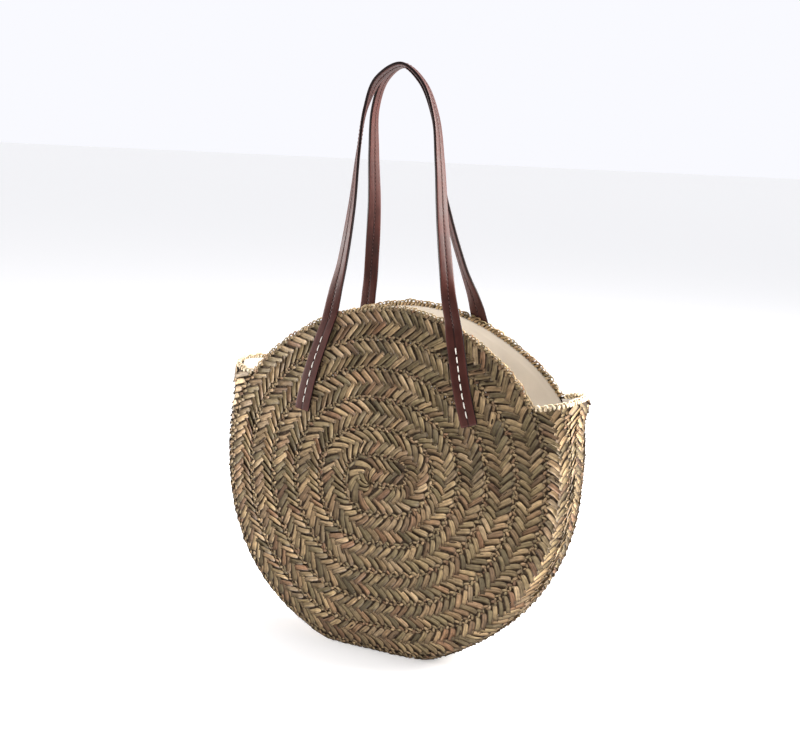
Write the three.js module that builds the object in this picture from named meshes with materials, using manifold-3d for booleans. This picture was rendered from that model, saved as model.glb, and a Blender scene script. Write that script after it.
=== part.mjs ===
// Round straw basket bag: two braided panels, a side band, a cotton lining and two leather handles.
// Units are millimetres, +Z is up, the front panel faces -Y, and the bag stands on Z = 0.
import * as THREE from 'three';
import { ParametricGeometry } from 'three/addons/geometries/ParametricGeometry.js';
import { mergeVertices } from 'three/addons/utils/BufferGeometryUtils.js';
import Module from 'manifold-3d';

// Round panels
const DISC_RADIUS = 194;
const DISC_CENTRE_HEIGHT = 195.8;
const PANEL_WALL = 3;
const PANEL_PILLOW = 20;
const PILLOW_POWER = 3.5;

// Room between the two panels at their rims, at half height
const BODY_DEPTH = 90;

// Side band
const BAND_WALL = 3;
const BAND_BULGE = 15.6;
const BAND_SQUARENESS_POWER = 2.5;
const EAR_ANGLE = 57.6;
const EAR_RISE = 8;

// Floor patch where the bag sags flat
const SEAM_FLOOR_HEIGHT = 6;
const SAG_SOFTNESS = 2.5;

// Lining
const LINING_WALL = 1;
const LINING_HEM = 7;
const LINING_EAR_HEM = 5;
const LINING_SEAM_OVERLAP = 4;

// Handles
const STRAP_WIDTH = 16;
const STRAP_THICKNESS = 3.8;
const TAIL_WIDTH = 18;
const TAIL_THICKNESS = 2.4;
const TAIL_LENGTH = 102;
const HANDLE_SPREAD = 146;
const HANDLE_HEIGHT = 273;
const STRAP_TURN_LENGTH = 60;

// Clearances between neighbours
const SEAM_GAP = 0.3;
const LINING_GAP = 0.5;
const LINING_BAND_GAP = 1;
const TAIL_GAP = 0.4;
const HANDLE_GAP = 0.8;

// Facets
const MOUTH_STEPS = 16;
const BAND_STEPS = 40;
const PANEL_RINGS = 8;
const RING_SPACING_POWER = 1.35;
const LINING_SKIP_STEPS = 2;
const BAND_ARC_STEPS = 9;
const STRAP_STEPS = 64;

// Radius of the seam line, as shares of DISC_RADIUS, by degrees round from the top towards +X
const RIM_ROWS = [
  { at: -180, share: 1.02 },
  { at: -165, share: 1.034 },
  { at: -150, share: 1.018 },
  { at: -120, share: 1 },
  { at: -90, share: 0.992 },
  { at: -60, share: 1.02 },
  { at: -30, share: 0.997 },
  { at: 0, share: 0.999 },
  { at: 30, share: 0.999 },
  { at: 60, share: 1.024 },
  { at: 90, share: 0.972 },
  { at: 120, share: 0.966 },
  { at: 150, share: 0.972 },
  { at: 165, share: 1.005 },
  { at: 180, share: 1.02 },
];

// Half depth between the seams, as shares of half BODY_DEPTH, by share of the disc's full height
const DEPTH_ROWS = [
  { at: 0, share: 0.76 },
  { at: 0.15, share: 0.95 },
  { at: 0.46, share: 1 },
  { at: 0.77, share: 1.03 },
  { at: 0.9, share: 0.86 },
  { at: 1.02, share: 0.7 },
];

// How far the side band stands out, as shares of BAND_BULGE, by share of the disc's full height
const BULGE_ROWS = [
  { at: 0, share: 0.69 },
  { at: 0.15, share: 0.84 },
  { at: 0.5, share: 1 },
  { at: 0.62, share: 1.16 },
  { at: 0.7, share: 1.5 },
  { at: 0.765, share: 2.5 },
];

// Where the band stops pointing away from the centre and flares sideways, by share of the full height
const FLARE_START = 0.52;
const FLARE_END = 0.765;

// Loop of the front handle: side as a share of half HANDLE_SPREAD, rise and lean as shares of
// HANDLE_HEIGHT and of the way from the panel to the middle, and the turn of the strap in degrees
const FRONT_LOOP = [
  { side: -1.014, rise: 0.085, lean: 0.1, turn: 16 },
  { side: -0.936, rise: 0.2, lean: 0.22, turn: 24 },
  { side: -0.859, rise: 0.44, lean: 0.5, turn: 39 },
  { side: -0.837, rise: 0.66, lean: 0.75, turn: 57 },
  { side: -0.779, rise: 0.83, lean: 0.92, turn: 71 },
  { side: -0.594, rise: 0.943, lean: 0.98, turn: 94 },
  { side: -0.209, rise: 1, lean: 1, turn: 97 },
  { side: 0.139, rise: 0.935, lean: 0.98, turn: 100 },
  { side: 0.364, rise: 0.81, lean: 0.92, turn: 93 },
  { side: 0.501, rise: 0.63, lean: 0.75, turn: 80 },
  { side: 0.629, rise: 0.42, lean: 0.5, turn: 68 },
  { side: 0.793, rise: 0.2, lean: 0.22, turn: 53 },
  { side: 0.89, rise: 0.085, lean: 0.1, turn: 26 },
];

// Loop of the back handle, with the same columns
const BACK_LOOP = [
  { side: -0.905, rise: 0.085, lean: 0.1, turn: 8 },
  { side: -0.863, rise: 0.2, lean: 0.22, turn: 22 },
  { side: -0.802, rise: 0.44, lean: 0.5, turn: 58 },
  { side: -0.801, rise: 0.66, lean: 0.75, turn: 77 },
  { side: -0.77, rise: 0.83, lean: 0.92, turn: 91 },
  { side: -0.618, rise: 0.943, lean: 0.98, turn: 92 },
  { side: -0.336, rise: 1, lean: 1, turn: 84 },
  { side: -0.017, rise: 0.935, lean: 0.98, turn: 76 },
  { side: 0.212, rise: 0.81, lean: 0.92, turn: 83 },
  { side: 0.298, rise: 0.63, lean: 0.75, turn: 71 },
  { side: 0.455, rise: 0.42, lean: 0.5, turn: 48 },
  { side: 0.714, rise: 0.2, lean: 0.22, turn: 44 },
  { side: 0.888, rise: 0.085, lean: 0.1, turn: 38 },
];

// Where each tail crosses the rim, as a share of half HANDLE_SPREAD, and its slant in degrees
const FRONT_TAILS = [
  { side: -1.06, splay: 8.4 },
  { side: 0.987, splay: 20 },
];
const BACK_TAILS = [
  { side: -0.95, splay: 14 },
  { side: 0.977, splay: 14.5 },
];

const FULL_HEIGHT = DISC_CENTRE_HEIGHT + DISC_RADIUS;

function radians(degrees) {
  return (degrees * Math.PI) / 180;
}

function smooth(share) {
  const t = Math.min(Math.max(share, 0), 1);
  return t * t * (3 - 2 * t);
}

// Reads a table as a smooth curve through its rows.
function readTable(rows, at) {
  const last = rows.length - 1;
  const place = Math.min(Math.max(at, rows[0].at), rows[last].at);
  let i = 0;
  while (i < last - 1 && place > rows[i + 1].at) i += 1;
  const slope = (j) => {
    const low = Math.max(j - 1, 0);
    const high = Math.min(j + 1, last);
    return (rows[high].share - rows[low].share) / (rows[high].at - rows[low].at);
  };
  const span = rows[i + 1].at - rows[i].at;
  const t = (place - rows[i].at) / span;
  const rise = rows[i + 1].share - rows[i].share;
  const a = slope(i) * span - rise;
  const b = rise - slope(i + 1) * span;
  return rows[i].share + rise * t + t * (1 - t) * (a * (1 - t) + b * t);
}

function halfDepth(z) {
  return 0.5 * BODY_DEPTH * readTable(DEPTH_ROWS, z / FULL_HEIGHT);
}

// The sagged height: straight above the floor, and easing to the lowest seam height near it.
function sagged(z) {
  const over = (z - SEAM_FLOOR_HEIGHT) / SAG_SOFTNESS;
  const eased = over > 30 ? over : Math.log1p(Math.exp(over));
  return SEAM_FLOOR_HEIGHT + SAG_SOFTNESS * eased;
}

// A point of the seam line, by degrees round from the top.
function seamPoint(degrees) {
  const turned = ((((degrees + 180) % 360) + 360) % 360) - 180;
  const radius = DISC_RADIUS * readTable(RIM_ROWS, turned);
  const x = radius * Math.sin(radians(degrees));
  const z = sagged(DISC_CENTRE_HEIGHT + radius * Math.cos(radians(degrees)));
  return { x, z };
}

function pillow(share) {
  return PANEL_PILLOW * (1 - share ** PILLOW_POWER);
}

// How far the panel's outer face, or its rim carried straight up, stands from the middle of the bag.
function panelDepth(x, z) {
  const degrees = THREE.MathUtils.radToDeg(Math.atan2(x, z - DISC_CENTRE_HEIGHT));
  const seam = seamPoint(degrees);
  const reach = Math.hypot(seam.x, seam.z - DISC_CENTRE_HEIGHT);
  const share = Math.hypot(x, z - DISC_CENTRE_HEIGHT) / reach;
  return halfDepth(z) + pillow(Math.min(share, 1));
}

// Closes a parametric surface into one solid: shared corners are merged and flat slivers dropped.
function closedSolid(place, across, along) {
  const surface = new ParametricGeometry(place, across, along);
  surface.deleteAttribute('normal');
  surface.deleteAttribute('uv');
  const merged = mergeVertices(surface, 1e-3);
  const index = merged.getIndex().array;
  const kept = [];
  for (let i = 0; i < index.length; i += 3) {
    const [a, b, c] = [index[i], index[i + 1], index[i + 2]];
    if (a !== b && b !== c && c !== a) kept.push(a, b, c);
  }
  merged.setIndex(kept);
  return facedOut(merged);
}

function facedOut(geometry) {
  const position = geometry.getAttribute('position');
  const index = Array.from(geometry.getIndex().array);
  const a = new THREE.Vector3();
  const b = new THREE.Vector3();
  const c = new THREE.Vector3();
  let volume = 0;
  for (let i = 0; i < index.length; i += 3) {
    a.fromBufferAttribute(position, index[i]);
    b.fromBufferAttribute(position, index[i + 1]);
    c.fromBufferAttribute(position, index[i + 2]);
    volume += a.dot(b.cross(c));
  }
  if (volume < 0) {
    for (let i = 0; i < index.length; i += 3) {
      const second = index[i + 1];
      index[i + 1] = index[i + 2];
      index[i + 2] = second;
    }
    geometry.setIndex(index);
  }
  return geometry;
}

// Ring stations from the middle of a panel to its rim, closer together towards the rim.
function ringShare(ring) {
  return 1 - (1 - ring / PANEL_RINGS) ** RING_SPACING_POWER;
}

// Angle of a panel's slice: the mouth's slices come first, then those that the band is sewn along.
function sliceAngle(slice, mouthSteps, bandSteps) {
  if (slice <= mouthSteps) return EAR_ANGLE * ((2 * slice) / mouthSteps - 1);
  return EAR_ANGLE + ((360 - 2 * EAR_ANGLE) * (slice - mouthSteps)) / bandSteps;
}

// A dished sheet that follows a panel, from `inset` below its outer face to `inset + wall`.
function dishedSheet(side, inset, wall, coarseness, rimShare) {
  const mouthSteps = MOUTH_STEPS / coarseness;
  const bandSteps = BAND_STEPS / coarseness;
  const slices = mouthSteps + bandSteps;
  const rows = 2 * PANEL_RINGS + 1;
  return closedSolid((u, v, target) => {
    const degrees = sliceAngle(Math.round(u * slices) % slices, mouthSteps, bandSteps);
    const row = Math.round(v * rows);
    const outer = row <= PANEL_RINGS;
    const ring = outer ? row : rows - row;
    const share = ring === PANEL_RINGS ? rimShare(degrees) : ringShare(ring);
    const seam = seamPoint(degrees);
    const z = DISC_CENTRE_HEIGHT + share * (seam.z - DISC_CENTRE_HEIGHT);
    const depth = halfDepth(z) + pillow(share) - inset - (outer ? 0 : wall);
    target.set(share * seam.x, side * depth, z);
  }, slices, rows);
}

function makePanel(side) {
  return dishedSheet(side, 0, PANEL_WALL, 1, () => 1);
}

function bandBulge(z) {
  return BAND_BULGE * readTable(BULGE_ROWS, z / FULL_HEIGHT);
}

// A point of the band's section: `turn` runs from 0 at the front seam to 1 at the back seam.
function bandPoint(degrees, turn, inset, lowest) {
  const seam = seamPoint(degrees);
  const flare = smooth((seam.z / FULL_HEIGHT - FLARE_START) / (FLARE_END - FLARE_START));
  const outX = Math.sin(radians(degrees)) * (1 - flare) + Math.sign(seam.x) * flare;
  const outZ = Math.cos(radians(degrees)) * (1 - flare);
  const power = 2 / BAND_SQUARENESS_POWER;
  const round = Math.sin(Math.PI * turn);
  const level = Math.cos(Math.PI * turn);
  const out = (bandBulge(seam.z) - inset) * Math.max(round, 0) ** power;
  const y = -(halfDepth(seam.z) - inset) * Math.sign(level) * Math.abs(level) ** power;
  const rise = EAR_RISE * flare * round;
  const z = Math.max(seam.z + outZ * (out + SEAM_GAP) + rise, lowest);
  return new THREE.Vector3(seam.x + outX * (out + SEAM_GAP), y, z);
}

// A curved band that follows the side of the bag. It ends `hem` short of the ears, and `tuck` of it
// runs back behind the edges of the two panels.
function curvedBand(inset, wall, hem, tuck) {
  const arc = BAND_ARC_STEPS + (tuck > 0 ? 2 : 0);
  const rows = 2 * arc + 2;
  const columns = BAND_STEPS + 2;
  const angleStep = (360 - 2 * EAR_ANGLE) / BAND_STEPS;
  const hemShare = hem / (radians(angleStep) * DISC_RADIUS);
  const tucked = (point, seam) => {
    const dx = seam.x;
    const dz = seam.z - DISC_CENTRE_HEIGHT;
    const share = tuck / Math.hypot(dx, dz);
    return point.set(point.x - dx * share, point.y, point.z - dz * share);
  };
  const sheetPoint = (degrees, step, depth) => {
    if (tuck === 0) return bandPoint(degrees, step / arc, depth, depth);
    const turn = Math.min(Math.max((step - 1) / BAND_ARC_STEPS, 0), 1);
    const point = bandPoint(degrees, turn, depth, depth);
    return step === 0 || step === arc ? tucked(point, seamPoint(degrees)) : point;
  };
  const hemmedPoint = (station, step, depth) => {
    const degrees = EAR_ANGLE + angleStep * station;
    const point = sheetPoint(degrees, step, depth);
    if (station === 0) point.lerp(sheetPoint(degrees + angleStep, step, depth), hemShare);
    if (station === BAND_STEPS) point.lerp(sheetPoint(degrees - angleStep, step, depth), hemShare);
    return point;
  };
  return closedSolid((u, v, target) => {
    const column = Math.round(u * columns);
    const station = Math.min(Math.max(column - 1, 0), BAND_STEPS);
    const row = Math.round(v * rows) % rows;
    const outer = row <= arc;
    const step = outer ? row : rows - 1 - row;
    const capped = column === 0 || column === columns;
    const depth = capped ? inset + wall : inset + (outer ? 0 : wall);
    target.copy(hemmedPoint(station, step, depth));
  }, columns, rows);
}

function makeBand() {
  return curvedBand(0, BAND_WALL, 0, 0);
}

// Share of the panel that the lining covers: a hem short of the rim in the mouth, all of it below.
function liningShare(degrees) {
  const fromTop = Math.min(degrees, 360 - degrees);
  const below = smooth((Math.abs(fromTop) - EAR_ANGLE + 8) / 8);
  return 1 - (1 - below) * (LINING_HEM / DISC_RADIUS);
}

function toManifold(wasm, geometry) {
  const mesh = new wasm.Mesh({
    numProp: 3,
    vertProperties: Float32Array.from(geometry.getAttribute('position').array),
    triVerts: Uint32Array.from(geometry.getIndex().array),
  });
  return new wasm.Manifold(mesh);
}

function fromManifold(manifold) {
  const mesh = manifold.getMesh();
  const geometry = new THREE.BufferGeometry();
  geometry.setAttribute('position', new THREE.BufferAttribute(Float32Array.from(mesh.vertProperties), 3));
  geometry.setIndex(Array.from(mesh.triVerts));
  return geometry;
}

// The lining is one sewn bag: two dished sheets and a band that runs behind their edges.
function makeLining(wasm) {
  const panelInset = PANEL_WALL + LINING_GAP;
  const bandInset = BAND_WALL + LINING_BAND_GAP;
  const front = toManifold(wasm, dishedSheet(-1, panelInset, LINING_WALL, LINING_SKIP_STEPS, liningShare));
  const back = toManifold(wasm, dishedSheet(1, panelInset, LINING_WALL, LINING_SKIP_STEPS, liningShare));
  const band = toManifold(wasm, curvedBand(bandInset, LINING_WALL, LINING_EAR_HEM, LINING_SEAM_OVERLAP));
  return fromManifold(front.add(band).add(back));
}

// The height at which a tail crosses the rim.
function rimHeight(x) {
  let low = 0;
  let high = Math.sign(x) * 80;
  for (let i = 0; i < 40; i += 1) {
    const middle = 0.5 * (low + high);
    if (Math.abs(seamPoint(middle).x) < Math.abs(x)) low = middle;
    else high = middle;
  }
  return seamPoint(low).z;
}

// Centre line of one handle from tail end to tail end, with the strap's turn at each point.
function handleLine(tails, loop) {
  const half = 0.5 * HANDLE_SPREAD;
  const stops = [];
  const addTail = (tail, fractions) => {
    const x = tail.side * half;
    const splay = radians(tail.splay);
    const z = rimHeight(x);
    for (const fraction of fractions) {
      const along = fraction * TAIL_LENGTH;
      const point = { x: x + Math.sign(x) * along * Math.sin(splay), z: z - along * Math.cos(splay) };
      stops.push({ ...point, lean: 0, turn: 0 });
    }
  };
  addTail(tails[0], [1, 0.75, 0.5, 0.25, 0]);
  const base = rimHeight(half);
  for (const row of loop) {
    stops.push({ x: row.side * half, z: base + row.rise * HANDLE_HEIGHT, lean: row.lean, turn: row.turn });
  }
  addTail(tails[1], [0, 0.25, 0.5, 0.75, 1]);
  const middle = 0.5 * STRAP_WIDTH + 0.5 * HANDLE_GAP;
  const points = stops.map((stop) => {
    const start = halfDepth(base) + TAIL_GAP + 0.5 * TAIL_THICKNESS;
    const seat = panelDepth(stop.x, stop.z) + TAIL_GAP + 0.5 * TAIL_THICKNESS;
    const free = start + (middle - start) * stop.lean;
    return new THREE.Vector3(stop.x, stop.lean > 0 ? free : seat, stop.z);
  });
  const turns = stops.map((stop) => new THREE.Vector3(stop.turn, stop.lean, 0));
  return {
    path: new THREE.CatmullRomCurve3(points, false, 'centripetal'),
    turning: new THREE.CatmullRomCurve3(turns, false, 'centripetal'),
  };
}

// How free the strap is from its panel: 0 on the panel and 1 once it stands clear of the rim.
function freedom(z) {
  return smooth((z - rimHeight(0.5 * HANDLE_SPREAD)) / STRAP_TURN_LENGTH);
}

function makeHandle(side, tails, loop) {
  const line = handleLine(tails, loop);
  const corners = [[-1, -1], [0, -1], [1, -1], [1, 1], [0, 1], [-1, 1]];
  const rows = corners.length;
  const columns = STRAP_STEPS + 2;
  return closedSolid((u, v, target) => {
    const column = Math.round(u * columns);
    const station = Math.min(Math.max(column - 1, 0), STRAP_STEPS) / STRAP_STEPS;
    const centre = line.path.getPoint(station);
    const tangent = line.path.getTangent(station);
    const turn = radians(line.turning.getPoint(station).x);
    const across = new THREE.Vector3(tangent.z, 0, -tangent.x).normalize();
    const face = new THREE.Vector3().crossVectors(tangent, across).normalize();
    if (face.y < 0) face.negate();
    const width = across.clone().multiplyScalar(Math.cos(turn)).addScaledVector(face, Math.sin(turn));
    const normal = new THREE.Vector3().crossVectors(width, tangent).normalize();
    const free = freedom(centre.z);
    const capped = column === 0 || column === columns;
    const corner = corners[Math.round(v * rows) % rows];
    const halfWidth = 0.5 * (TAIL_WIDTH + (STRAP_WIDTH - TAIL_WIDTH) * free) * (capped ? 0 : corner[0]);
    const halfThick = 0.5 * (TAIL_THICKNESS + (STRAP_THICKNESS - TAIL_THICKNESS) * free) * (capped ? 0 : corner[1]);
    const loose = centre.clone().addScaledVector(width, halfWidth).addScaledVector(normal, halfThick);
    const flat = centre.clone().addScaledVector(across, halfWidth);
    const seat = panelDepth(flat.x, flat.z) + TAIL_GAP + 0.5 * TAIL_THICKNESS;
    flat.setY(seat - halfThick);
    target.lerpVectors(flat, loose, free);
    target.setY(side * target.y);
  }, columns, rows);
}

function mesh(name, geometry, colour, roughness) {
  geometry.computeVertexNormals();
  const material = new THREE.MeshStandardMaterial({ color: colour, roughness, metalness: 0 });
  const part = new THREE.Mesh(geometry, material);
  part.name = name;
  return part;
}

const STRAW = 0xb09a7a;
const STRAW_LIGHT = 0xbda98a;
const COTTON = 0xe9dfcf;
const LEATHER = 0x4a2423;

const wasm = await Module();
wasm.setup();

const bag = new THREE.Group();
bag.add(mesh('front_panel', makePanel(-1), STRAW, 0.85));
bag.add(mesh('back_panel', makePanel(1), STRAW, 0.85));
bag.add(mesh('side_band', makeBand(), STRAW_LIGHT, 0.85));
bag.add(mesh('lining', makeLining(wasm), COTTON, 0.95));
bag.add(mesh('front_handle', makeHandle(-1, FRONT_TAILS, FRONT_LOOP), LEATHER, 0.5));
bag.add(mesh('back_handle', makeHandle(1, BACK_TAILS, BACK_LOOP), LEATHER, 0.5));

export default bag;
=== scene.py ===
"""Dresses the straw basket bag: sewn palm braid, cotton lining, leather handles, and a stage round it."""

import math

import bpy
import numpy as np
from mathutils import Matrix, Vector


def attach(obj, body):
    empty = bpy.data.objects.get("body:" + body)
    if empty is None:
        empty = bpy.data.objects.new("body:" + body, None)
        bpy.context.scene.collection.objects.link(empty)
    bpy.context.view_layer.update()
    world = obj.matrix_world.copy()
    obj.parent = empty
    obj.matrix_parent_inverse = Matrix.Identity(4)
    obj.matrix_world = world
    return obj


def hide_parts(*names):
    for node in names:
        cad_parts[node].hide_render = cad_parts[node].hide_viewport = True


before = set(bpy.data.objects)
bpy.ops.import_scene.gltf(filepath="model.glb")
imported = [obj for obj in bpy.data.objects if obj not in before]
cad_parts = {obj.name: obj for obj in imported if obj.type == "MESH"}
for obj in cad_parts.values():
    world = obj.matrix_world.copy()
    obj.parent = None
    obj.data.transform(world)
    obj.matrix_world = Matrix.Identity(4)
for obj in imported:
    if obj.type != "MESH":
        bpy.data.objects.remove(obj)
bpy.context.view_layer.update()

bl_info = {
    "name": "Straw basket bag",
    "version": (1, 0, 0),
    "blender": (4, 5, 0),
    "location": "View3D > Sidebar > Basket Bag",
    "description": "Builds the braid, lining and handles of a round straw bag",
    "category": "Add Mesh",
}

MM = 0.001

# Shape of the bag, in millimetres, as in its solids
DISC_RADIUS = 194.0
DISC_CENTRE_HEIGHT = 195.8
FULL_HEIGHT = DISC_CENTRE_HEIGHT + DISC_RADIUS
PANEL_PILLOW = 20.0
PILLOW_POWER = 3.5
BODY_DEPTH = 90.0
BAND_BULGE = 15.6
BAND_SQUARENESS = 2.5
EAR_ANGLE = 57.6
EAR_RISE = 8.0
FLARE_START = 0.52
FLARE_END = 0.765
SEAM_FLOOR_HEIGHT = 6.0
SAG_SOFTNESS = 2.5
SEAM_GAP = 0.3
TAIL_GAP = 0.4

# Columns: degrees round from the top towards +X, radius of the seam line as a share of DISC_RADIUS
RIM_ROWS = (
    (-180, -165, -150, -120, -90, -60, -30, 0, 30, 60, 90, 120, 150, 165, 180),
    (1.02, 1.034, 1.018, 1, 0.992, 1.02, 0.997, 0.999, 0.999, 1.024, 0.972, 0.966, 0.972, 1.005, 1.02),
)
# Columns: share of FULL_HEIGHT, half depth between the seams as a share of half BODY_DEPTH
DEPTH_ROWS = ((0, 0.15, 0.46, 0.77, 0.9, 1.02), (0.76, 0.95, 1, 1.03, 0.86, 0.7))
# Columns: share of FULL_HEIGHT, how far the band stands out as a share of BAND_BULGE
BULGE_ROWS = ((0, 0.15, 0.5, 0.62, 0.7, 0.765), (0.69, 0.84, 1, 1.16, 1.5, 2.5))

# Handles
STRAP_WIDTH = 16.0
STRAP_THICKNESS = 3.8
TAIL_WIDTH = 18.0
TAIL_THICKNESS = 2.4
TAIL_LENGTH = 102.0
HANDLE_SPREAD = 146.0
HANDLE_HEIGHT = 273.0
STRAP_TURN_LENGTH = 60.0
# One stitch. Columns: share of its length, thickness and depth as shares of its radius
STITCH_ROWS = (
    (0.0, 0.05, 0.9), (0.06, 0.75, 0.45), (0.3, 1.0, 0.0), (0.7, 1.0, 0.0), (0.94, 0.75, 0.45), (1.0, 0.05, 0.9),
)
STITCH_SIDES = 6
DASH_PITCH = 9.8
DASH_COUNT = 8
DASH_START = 7.0
HANDLE_GAP = 0.8
# Columns: side as a share of half HANDLE_SPREAD, rise and lean as shares, turn in degrees
FRONT_LOOP = (
    (-1.014, 0.085, 0.1, 16), (-0.936, 0.2, 0.22, 24), (-0.859, 0.44, 0.5, 39), (-0.837, 0.66, 0.75, 57),
    (-0.779, 0.83, 0.92, 71), (-0.594, 0.943, 0.98, 94), (-0.209, 1, 1, 97), (0.139, 0.935, 0.98, 100),
    (0.364, 0.81, 0.92, 93), (0.501, 0.63, 0.75, 80), (0.629, 0.42, 0.5, 68), (0.793, 0.2, 0.22, 53),
    (0.89, 0.085, 0.1, 26),
)
BACK_LOOP = (
    (-0.905, 0.085, 0.1, 8), (-0.863, 0.2, 0.22, 22), (-0.802, 0.44, 0.5, 58), (-0.801, 0.66, 0.75, 77),
    (-0.77, 0.83, 0.92, 91), (-0.618, 0.943, 0.98, 92), (-0.336, 1, 1, 84), (-0.017, 0.935, 0.98, 76),
    (0.212, 0.81, 0.92, 83), (0.298, 0.63, 0.75, 71), (0.455, 0.42, 0.5, 48), (0.714, 0.2, 0.22, 44),
    (0.888, 0.085, 0.1, 38),
)
# Columns: side as a share of half HANDLE_SPREAD, slant in degrees
FRONT_TAILS = ((-1.06, 8.4), (0.987, 20))
BACK_TAILS = ((-0.95, 14), (0.977, 14.5))

# Spiral of the sewn braid: its middle, and its two turning centres in rows from there
SPIRAL_X = 10.3
SPIRAL_Z = 209.75
START_CENTRE = (-0.41, -0.25)
END_CENTRE = (0.41, 0.25)
TURNS = 6
ROW_WIDTH = 31.0

# Braid, in millimetres
LEAF_OUTER = 12.3
LEAF_INNER = -1.2
LEAF_ADVANCE = 12.5
# The two small loops at each step of a row's edge. Columns: offset in steps, length, half width,
# distance from the middle of the row, slant in radians
FOLD_ROWS = ((0.0, 6.4, 1.5, 14.1, 0.75), (0.5, 4.2, 1.15, 13.5, -0.3))
LINING_HEM = 2.8
LINING_EAR_HEM = 2.4
# The path of a bit of leaf round a rim: how far it stands past the edge, and before its middle
WRAP_ROWS = (
    (-3.4, -1.4, 0.3, 1.0, 1.1, 0.6, -0.6, -1.9, -3.2),
    (1.7, 2.4, 2.2, 1.2, -0.3, -1.5, -2.3, -2.5, -2.2),
)
RIM_PITCH = 4.4
LOOP_PITCH = 4.6
UNDER_INSET = 1.6
UNDER_WALL = 1.2
FLOOR_ROOM = 0.3
# Painted light: height in millimetres above which pale spots are laid in the seams
LIGHT_SPOTS_FROM = 285.0
# How far the places where two leaves' grain starts may lie apart
GRAIN_RANGE = 500.0
# Share of LEAF_COLOURS that the leaves use; the palest are kept for the ears
PLAIN_LEAVES = 0.97
# How much finer the grain is along a leaf, across it, and from leaf to leaf
RIB_STRETCH = (0.09, 1.5, 37.0)

# Colours. Columns of the tables: place, colour
LEAF_COLOURS = (
    (0.0, (0.19, 0.145, 0.072)), (0.25, (0.29, 0.21, 0.105)), (0.5, (0.40, 0.28, 0.145)),
    (0.7, (0.33, 0.215, 0.11)), (0.82, (0.235, 0.125, 0.064)), (0.9, (0.40, 0.28, 0.155)),
    (0.97, (0.42, 0.30, 0.17)), (1.0, (0.80, 0.68, 0.48)),
)
# Painted shade: the dark brown laid into the leaves' grooves, along their edges and where their ends tuck under
LEAF_PAINTED_SHADE = (0.035, 0.018, 0.009)
LEATHER_COLOURS = ((0.3, (0.028, 0.0075, 0.0055)), (0.72, (0.062, 0.0165, 0.012)))
# Painted highlight: the lighter colour towards the straps' rounded edges
LEATHER_HIGHLIGHT = (0.16, 0.048, 0.036)
LEATHER_SEAM = (0.012, 0.004, 0.003)
LEATHER_CUT = (0.010, 0.004, 0.004)

# Half the side of the plain floor, in metres
FLOOR_REACH = 60.0
# Lights, in metres. Columns: name, place, what it points at, size, the setting of its power, colour
LIGHTS = (
    ("key_light", (1.75, 1.0, 1.4), (0, 0, 0.2), (1.4, 1.4), "key_power", (1.0, 0.97, 0.93)),
    ("top_light", (0.2, 0.3, 1.9), (0, 0, 0.3), (1.2, 1.2), "top_power", (1.0, 0.99, 0.97)),
    ("left_light", (-1.6, -0.4, 0.4), (0, 0, 0.15), (1.0, 0.7), "left_power", (1.0, 0.97, 0.94)),
)

# Camera, fitted to the photograph: degrees, then millimetres
CAMERA_YAW = 25.825
CAMERA_ELEVATION = 9.601
CAMERA_ROLL = 2.647
CAMERA_TARGET = (8.839, 316.378)
CAMERA_DISTANCE = 1500.0
CAMERA_LENS = 58.734


def smooth(share):
    t = np.clip(share, 0, 1)
    return t * t * (3 - 2 * t)


def read_table(rows, at):
    """Reads a table as a smooth curve through its rows."""
    places = np.asarray(rows[0], float)
    shares = np.asarray(rows[1], float)
    last = len(places) - 1
    at = np.clip(at, places[0], places[last])
    i = np.clip(np.searchsorted(places, at, side="left") - 1, 0, last - 1)
    low = np.maximum(np.arange(last + 1) - 1, 0)
    high = np.minimum(np.arange(last + 1) + 1, last)
    slopes = (shares[high] - shares[low]) / (places[high] - places[low])
    span = places[i + 1] - places[i]
    t = (at - places[i]) / span
    rise = shares[i + 1] - shares[i]
    a = slopes[i] * span - rise
    b = rise - slopes[i + 1] * span
    return shares[i] + rise * t + t * (1 - t) * (a * (1 - t) + b * t)


def half_depth(z):
    return 0.5 * BODY_DEPTH * read_table(DEPTH_ROWS, np.asarray(z) / FULL_HEIGHT)


def sagged(z):
    """The height after the bag has sagged on the floor."""
    over = (z - SEAM_FLOOR_HEIGHT) / SAG_SOFTNESS
    return SEAM_FLOOR_HEIGHT + SAG_SOFTNESS * np.logaddexp(0, over)


def seam_point(degrees):
    """A point (x, z) of the seam line, by degrees round from the top."""
    turned = (np.asarray(degrees, float) + 180) % 360 - 180
    radius = DISC_RADIUS * read_table(RIM_ROWS, turned)
    x = radius * np.sin(np.radians(degrees))
    z = sagged(DISC_CENTRE_HEIGHT + radius * np.cos(np.radians(degrees)))
    return x, z


def panel_depth(x, z):
    """How far the panel's outer face stands from the middle of the bag."""
    degrees = np.degrees(np.arctan2(x, z - DISC_CENTRE_HEIGHT))
    seam_x, seam_z = seam_point(degrees)
    reach = np.hypot(seam_x, seam_z - DISC_CENTRE_HEIGHT)
    share = np.minimum(np.hypot(x, z - DISC_CENTRE_HEIGHT) / reach, 1)
    return half_depth(z) + PANEL_PILLOW * (1 - share ** PILLOW_POWER)


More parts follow.
